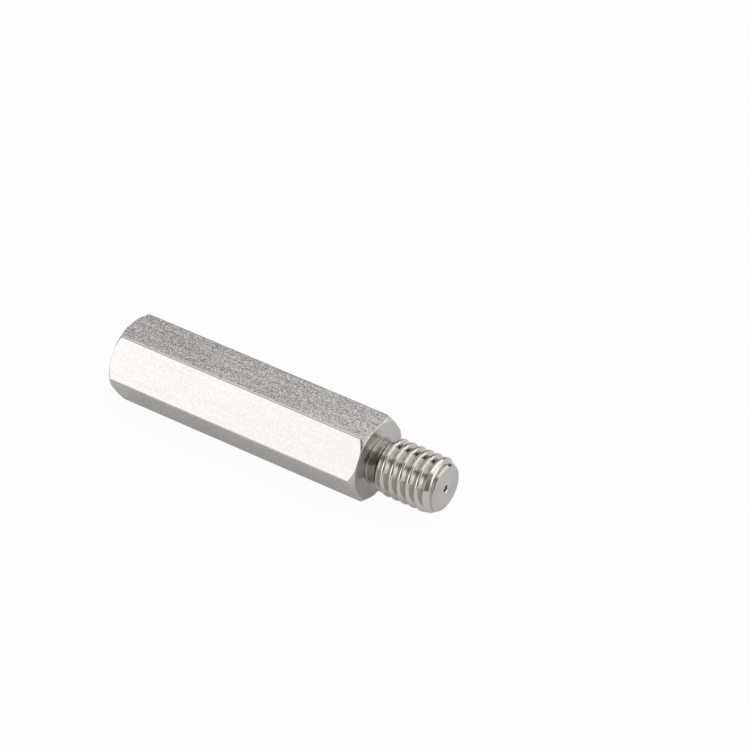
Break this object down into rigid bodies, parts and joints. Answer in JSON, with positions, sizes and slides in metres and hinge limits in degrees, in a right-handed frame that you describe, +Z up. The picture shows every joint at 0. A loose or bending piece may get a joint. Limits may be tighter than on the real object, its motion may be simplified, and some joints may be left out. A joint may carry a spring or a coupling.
{
  "type": "hex standoff",
  "caption": "Male-female hex standoff turned from stainless hexagon bar, with a threaded stud, a relief groove behind it and a tapped blind hole in the far end.",
  "frame": {"origin": "middle of the overall length, on the surface that the standoff lies on", "axes": "+X along the standoff's axis towards the stud's tip, +Z up, with one flat of the hexagon on Z = 0"},
  "size_m": [0.038, 0.0092, 0.008],
  "materials": {
    "stainless_steel": "satin drawn flats, bright turned ends and thread"
  },
  "bodies": {
    "root": {"standoff": "stainless_steel"}
  },
  "joints": []
}
